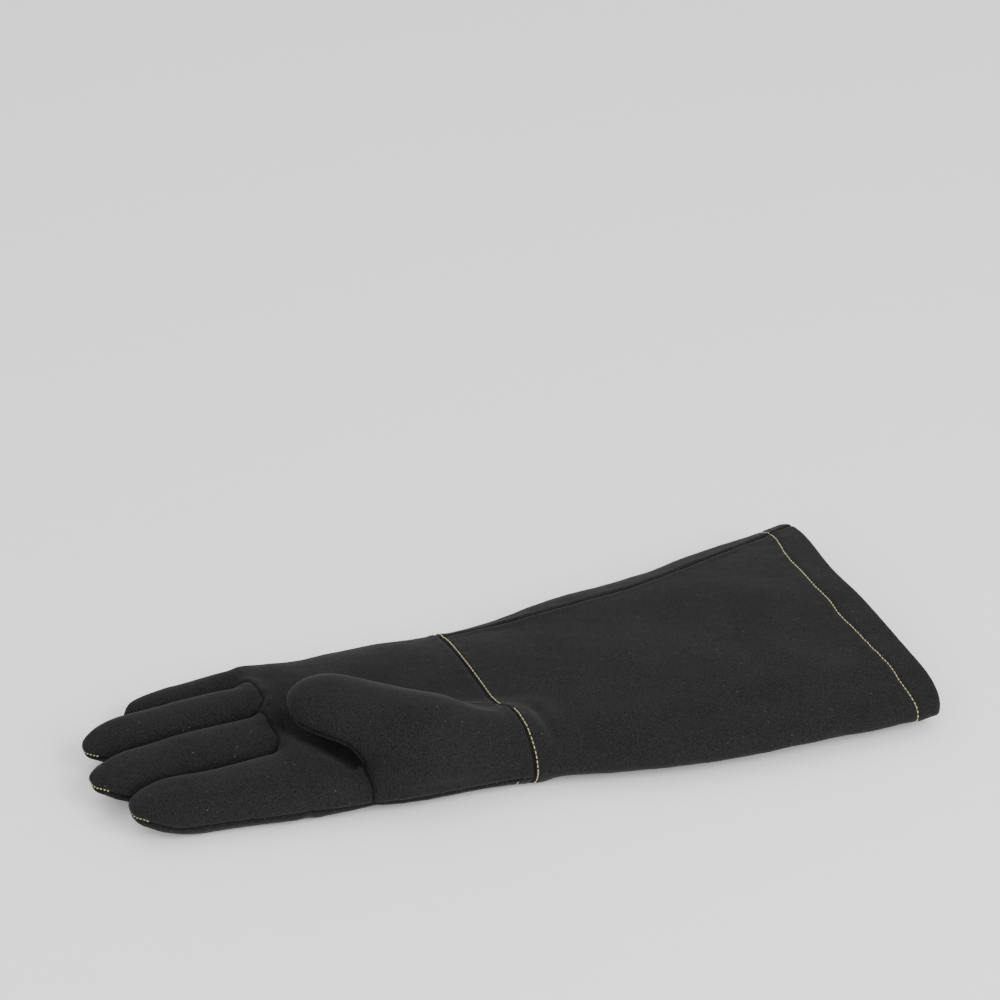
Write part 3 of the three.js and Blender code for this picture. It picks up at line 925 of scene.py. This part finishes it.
def shaped(points):
    """Sews and creases the plain form. Returns the new points and how near each is to a seam, which weights
    the painted shade in the seam grooves.
    """
    inside = np.clip(-outer(points) / THICKNESS, 0, 1)
    skin = inside < 0.5
    away = np.full(len(points), 99.0)
    away[skin] = distance_to(seam_lines(), points[skin])
    raised = np.clip(points[:, 2] / 5, 0, 1)
    rise, beside, width = PUCKER
    groove = rise * bump(away - beside, width) - SEAM_DEPTH * bump(away, SEAM_WIDTH)
    groove += 0.12 * bump(away, 6) * ripple(points, 9, 3)
    hemmed = hem_line(points)
    groove -= 0.15 * bump(wrist_seam(points) - TOPSTITCH_OFF, 0.9) + 0.4 * bump(hemmed, 1.1)
    groove += 0.35 * smoothstep(hemmed / 4) + 0.16 * bump(hemmed, 7) * ripple(points, 10, 5, (0.4, 1, 1))
    loose = sum(high * ripple(points, size, seed) for high, size, seed in LOOSE_WAVES)
    for start, end, depth, width in FOLDS:
        loose += fold(points, start, end, depth, width)
    move = (groove * (inside < 0.5) + loose * (1 - 0.5 * bump(away, 5))) * smoothstep(raised)
    moved = points + outward(points) * move[:, None]
    moved[:, 2] = np.maximum(moved[:, 2], LEAST_HEIGHT)
    # the second value weights the painted shade in the seam grooves
    return moved, bump(away, SEAM_SHADE)


rest, seam_painted_shade = shaped(points)


def smooth_normals(points):
    across = points[corners[:, 2]] - points[corners[:, 0]]
    down = points[corners[:, 3]] - points[corners[:, 1]]
    normals = np.cross(across, down)
    total = [np.bincount(corners.ravel(), np.repeat(normals[:, k], 4), len(points)) for k in range(3)]
    return unit(np.stack(total, axis=1))


normals = smooth_normals(rest)


# ---- materials
class Surface:
    """A node material, and short ways of adding nodes to it."""

    def __init__(self, name, constants):
        self.material = bpy.data.materials.new(name)
        self.material.use_nodes = True
        self.tree = self.material.node_tree
        self.shader = self.tree.nodes["Principled BSDF"]
        for socket, value in constants.items():
            self.shader.inputs[socket].default_value = value
        self.place = self.add("Attribute", {}, attribute_name="rest")["Vector"]

    def add(self, kind, inputs, **settings):
        """Adds a node and returns its outputs."""
        node = self.tree.nodes.new("ShaderNode" + kind)
        for key, value in settings.items():
            setattr(node, key, value)
        for key, value in inputs.items():
            if isinstance(value, bpy.types.NodeSocket):
                self.tree.links.new(value, node.inputs[key])
            else:
                node.inputs[key].default_value = value
        return node.outputs

    def link(self, value, socket):
        self.tree.links.new(value, self.shader.inputs[socket])

    def texture(self, kind, inputs, **settings):
        return self.add("Tex" + kind, {"Vector": self.place} | inputs, **settings)

    def noise(self, scale, detail):
        return self.texture("Noise", {"Scale": scale, "Detail": detail})["Fac"]

    def wave(self, direction, pitch, distortion, detail, detail_scale):
        shape = {"Distortion": distortion, "Detail": detail, "Detail Scale": detail_scale}
        return self.texture("Wave", shape | {"Scale": WAVE_SCALE / pitch}, bands_direction=direction)["Fac"]

    def product(self, a, b):
        return self.add("Math", {0: a, 1: b}, operation="MULTIPLY")[0]

    def total(self, first, *others):
        """Adds up pairs of a value and its weight."""
        result = self.product(*first)
        for pair in others:
            result = self.add("Math", {0: result, 1: self.product(*pair)}, operation="ADD")[0]
        return result

    def ranged(self, value, low, high, to_low=0.0, to_high=1.0):
        inputs = {"Value": value, "From Min": low, "From Max": high, "To Min": to_low, "To Max": to_high}
        return self.add("MapRange", inputs)["Result"]

    def mixed(self, factor, dark, light):
        return self.add("Mix", {"Factor": factor, 6: dark, 7: light}, data_type="RGBA")[2]

    def finished(self, colour, height, strength, distance):
        """The material, with this base colour and bump."""
        self.link(colour, "Base Color")
        inputs = {"Height": height, "Strength": strength, "Distance": distance}
        self.link(self.add("Bump", inputs)["Normal"], "Normal")
        return self.material


def textile(name, dark, light, rib, weave, fuzz):
    """A napped cloth: ribs across the glove, fine stitches along them, fuzz, specks of lint, and painted
    shade along the seams.
    """
    surface = Surface(name, NAPPED)
    # the seam attribute paints shade into the seam grooves: it darkens the colour there
    seam = surface.add("Attribute", {}, attribute_name="seam")["Fac"]
    ribs = surface.wave("X", rib, 1.6, 2.0, 1.4)
    loops = surface.wave("Y", rib * 0.8, 2.4, 2.0, 1.8)
    knit = surface.total((ribs, 0.7), (surface.product(ribs, loops), 0.6))
    nap = surface.noise(1050.0, 4.0)
    patches = surface.noise(38.0, 3.0)
    tone = surface.total((knit, weave), (nap, 2.0), (patches, 0.35), (seam, -0.4))
    colour = surface.mixed(surface.ranged(tone, 0.76, 1.9), dark, light)
    specks = surface.texture("Voronoi", {"Scale": 300.0, "Randomness": 1.0})
    small = surface.ranged(specks["Distance"], 0.13, 0.04)
    few = surface.ranged(specks["Color"], 0.7, 0.76)
    dusty = surface.product(surface.product(small, few), 0.55)
    surface.link(surface.ranged(nap, 0.2, 0.8, 0.86, 1.0), "Roughness")
    height = surface.total((knit, weave), (nap, fuzz))
    return surface.finished(surface.mixed(dusty, colour, LINT), height, 0.7, 0.0004)


def thread_material():
    surface = Surface("aramid_thread", TWISTED)
    strands = surface.wave("DIAGONAL", 0.00042, 1.2, 1.0, 1.0)
    yarn = surface.product(strands, surface.noise(2600.0, 2.0))
    return surface.finished(surface.mixed(yarn, *THREAD_COLOURS), yarn, 0.6, 0.0002)


knit = textile("knit_shell", *KNIT_COLOURS, rib=0.0011, weave=0.28, fuzz=0.7)
felt = textile("felt_lining", *FELT_COLOURS, rib=0.004, weave=0.12, fuzz=1.0)
thread = thread_material()


# ---- pieces
def add_object(name, data):
    added = bpy.data.objects.new(name, data)
    bpy.context.scene.collection.objects.link(added)
    return added


def add_mesh(name, points, faces, material):
    mesh = bpy.data.meshes.new(name)
    mesh.from_pydata(points, [], faces)
    mesh.materials.append(material)
    return add_object(name, mesh)


def new_piece(name, places, faces, material, slot, nodes):
    """A named piece that replaces CAD nodes. Places are in millimetres."""
    piece = add_mesh(name, places * MM, faces, material)
    piece.data.shade_smooth()
    remember = piece.data.attributes.new("rest", "FLOAT_VECTOR", "POINT")
    remember.data.foreach_set("vector", (places * MM).astype(np.float32).ravel())
    if nodes:
        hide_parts(*nodes)
    return piece


def on_table(x, y=0):
    return (x * MM, y * MM, 0)


def across_wrist(piece):
    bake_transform(piece)


def across_knuckle(piece, name, span):
    finger = fingers[name]
    if span == "base":
        bodies, middle, zone = ("hand", name + "_base"), CROTCH_AHEAD[name], KNUCKLE_ZONE[name]
    else:
        bodies, middle = (name + "_base", name + "_tip"), CROTCH_AHEAD[name] + finger.spacing
        zone = min(KNUCKLE_ZONE[name], finger.spacing / 2)
    start, end = (finger.root + finger.along * place for place in (middle - zone, middle + zone))
    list(bodies)
    on_table(*start)
    on_table(*end)
    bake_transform(piece)


def across_thumb(piece):
    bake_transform(piece)


def put_on_bodies(piece, panel):
    """Hangs the cuff's hem fold and the set-in finger roots on their body; other panels only have their
    transform baked.
    """
    words = panel.split("_")
    if panel == "cuff_hem_fold":
        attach(piece, "gauntlet")
    elif panel in ("thumb_wing_tip", "thumb_lining_tip"):
        across_thumb(piece)
    elif words[-1] == "root":
        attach(piece, "hand")
    elif words[0] in fingers:
        across_knuckle(piece, words[0], words[2])
    else:
        across_wrist(piece)


for panel in sorted(set(panels)):
    chosen = np.flatnonzero(panels == panel)
    used = np.unique(corners[chosen])
    number = np.full(len(rest), -1)
    number[used] = np.arange(len(used))
    is_felt = "lining" in panel
    looks = (felt, "felt_lining") if is_felt else (knit, "knit_shell")
    own_faces = [[int(number[corner]) for corner in faces[i]] for i in chosen]
    piece = new_piece(panel + ("_felt" if is_felt else "_cloth"), rest[used], own_faces, *looks, [panel])
    # the seam attribute carries the painted shade along the seam grooves
    seam = piece.data.attributes.new("seam", "FLOAT", "POINT")
    seam.data.foreach_set("value", seam_painted_shade[used].astype(np.float32))
    piece.data.normals_split_custom_set_from_vertices(normals[used])
    put_on_bodies(piece, panel)


# ---- stitches
skin_faces = [face for face, cloth in zip(faces, fabric) if cloth != "lining"]
skin = bvhtree.BVHTree.FromPolygons(rest.tolist(), skin_faces)


def onto_skin(line):
    """A line laid on the finished cloth, with the cloth's normals there."""
    found = [skin.find_nearest(Vector(point)) for point in line]
    return np.array([hit[0] for hit in found]), np.array([hit[1] for hit in found])


def cast(start, ways, steer=None, axis=0):
    """Where rays leave the form. `steer` is how far off a seam line each point is along an axis."""
    near, far = np.zeros(len(ways)), np.full(len(ways), RAY_LENGTH)
    for _ in range(RAY_HALVINGS):
        reach = (near + far) / 2
        found = start + reach[:, None] * ways
        if steer:
            found[:, axis] -= steer(found)
        inside = outer(found) < 0
        near, far = np.where(inside, reach, near), np.where(inside, far, reach)
    return found


def ring(field, off, x):
    """A closed line round the cuff, where a seam field has this value."""
    angle = np.linspace(0, 2 * np.pi, RING_POINTS)
    ways = np.stack([0 * angle, np.cos(angle), np.sin(angle)], axis=1)
    centre, _, height = rows_at(x)
    return cast(np.array([x, centre, height - REST_FLAT]), ways, lambda found: field(found) - off)


def thread_run(centres, normals, radii):
    """One length of thread along these centres, closed at both ends."""
    along = unit(np.gradient(centres, axis=0))
    side = unit(np.cross(along, normals))
    up = np.cross(side, along)
    angle = np.linspace(0, 2 * np.pi, STITCH_ROUND, endpoint=False)
    rings = [
        centre + radius * (np.cos(angle)[:, None] * a + np.sin(angle)[:, None] * b)
        for centre, radius, a, b in zip(centres, radii, side, up)
    ]
    n, last = STITCH_ROUND, (len(centres) - 1) * STITCH_ROUND
    faces = [
        [k * n + i, k * n + (i + 1) % n, (k + 1) * n + (i + 1) % n, (k + 1) * n + i]
        for k in range(len(centres) - 1)
        for i in range(n)
    ]
    faces += [list(range(n))[::-1], list(range(last, last + n))]
    return np.concatenate(rings), faces


def stitches(line, seed, length=STITCH_LENGTH, pitch=STITCH_PITCH, hidden=None):
    """A row of stitches along a line, as points and faces, without those that a fold hides."""
    rng = np.random.default_rng(seed)
    line, normals = onto_skin(line)
    run = np.append(0, np.cumsum(norm(np.diff(line, axis=0), axis=1)))
    count = int(run[-1] / pitch)
    places, faces, total = [], [], 0
    for i in range(count):
        start = (i + 0.5) * run[-1] / count - length / 2 + rng.normal(0, STITCH_WANDER)
        at = start + STITCH_SHARES * length * rng.uniform(*STITCH_STRETCH)
        centre = np.stack([np.interp(at, run, line[:, k]) for k in range(3)], axis=1)
        normal = unit(np.stack([np.interp(at, run, normals[:, k]) for k in range(3)], axis=1))
        centre += normal * STITCH_RISE[:, None]
        if hidden and hidden(centre.mean(axis=0)):
            continue
        some, some_faces = thread_run(centre, normal, STITCH_THICK)
        places.append(some)
        faces += [[corner + total for corner in face] for face in some_faces]
        total += len(some)
    places = np.concatenate(places)
    places[:, 2] = np.maximum(places[:, 2], LEAST_HEIGHT / 2)
    return places, faces


def stitched(name, line, seed, nodes=(), **sizes):
    return new_piece(name, *stitches(line, seed, **sizes), thread, "aramid_thread", nodes)


def in_wing_fold(place):
    low, high = HIDDEN_STITCHES
    return place[2] > HAND_SEAM_Z and low < place[1] - wrist_y - WRIST_STEP_Y < high


wrist_ring, hem_ring = ring(wrist_seam, TOPSTITCH_OFF, wrist_x), ring(hem_line, 0, hem_x)
across_wrist(stitched("wrist_topstitch_thread", wrist_ring, 21, ["wrist_topstitch"], hidden=in_wing_fold))
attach(stitched("hem_topstitch_thread", hem_ring, 22, ["hem_topstitch"]), "gauntlet")

for name, (low, high) in TIP_STITCHES.items():
    finger = fingers[name]
    angle = np.radians(np.linspace(low, high, 60))
    level = np.cos(angle)[:, None] * finger.along + np.sin(angle)[:, None] * finger.side
    ways = np.append(level, np.zeros((len(angle), 1)), axis=1)
    start = np.append(finger.root + finger.along * finger.straight, HAND_SEAM_Z)
    line = cast(start, ways, lambda found: hand_seam(found) - TIP_STITCH_OFF, axis=2)
    tip_thread = stitched(name + "_tip_thread", line, 23, **TIP_STITCH)
    across_knuckle(tip_thread, name, "tip")

loose_start = np.array([LOOSE_THREAD[0], wrist_y, LOOSE_THREAD[1]])
loose_way = np.array([[0, -1, -0.05]])
loose_end = cast(loose_start, loose_way)[0]
steps = np.linspace(-0.2, 1, LOOSE_POINTS)[:, None]
loose_line = loose_end + steps * [-2.5, -2.4, 0.6] + np.sin(steps * 4) * [0.5, -0.2, 0.7]
loose_normals = np.tile([0.2, 0, 1.0], (LOOSE_POINTS, 1))
loose_radii = np.full(LOOSE_POINTS, STITCH_RADIUS * 0.8)
loose_run = thread_run(loose_line, loose_normals, loose_radii)
across_wrist(new_piece("loose_thread_end", *loose_run, thread, "aramid_thread", []))


# ---- floor, light and camera
def stage_material():
    surface = Surface("floor", {"Roughness": 0.8})
    surface.place = surface.add("NewGeometry", {})["Position"]
    surface.link(surface.mixed(surface.noise(60.0, 4.0), *FLOOR_COLOURS), "Base Color")
    return surface.material


floor_corners = [(x * FLOOR_REACH, y * FLOOR_REACH, 0) for x, y in ((-1, -1), (1, -1), (1, 1), (-1, 1))]
add_mesh("floor", floor_corners, [(0, 1, 2, 3)], stage_material())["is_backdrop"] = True

for name, place, size, power in LIGHTS:
    light = bpy.data.lights.new(name, "AREA")
    light.size = size
    light.energy = power
    lamp = add_object(name, light)
    lamp.location = place
    lamp.rotation_euler = (-Vector(place)).to_track_quat("-Z", "Y").to_euler()

world = bpy.data.worlds.new("studio")
world.use_nodes = True
background = world.node_tree.nodes["Background"].inputs
background["Color"].default_value = (1, 1, 1, 1)
background["Strength"].default_value = WORLD_STRENGTH
bpy.context.scene.world = world

camera_data = bpy.data.cameras.new("camera")
camera_data.lens = LENS
camera_data.clip_end = 50
camera = add_object("camera", camera_data)
tilt, turn = math.radians(CAMERA_ELEVATION), math.radians(CAMERA_AZIMUTH)
looking = Vector((-math.sin(turn) * math.cos(tilt), math.cos(turn) * math.cos(tilt), -math.sin(tilt)))
camera.location = Vector(CAMERA_AIM) - looking * CAMERA_DISTANCE
camera.rotation_euler = (math.pi / 2 - tilt, 0, turn)
bpy.context.scene.camera = camera

boxes = {"cad": cad_box, "visual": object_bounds()}
{name: [list(corner) for corner in box] for name, box in boxes.items()}
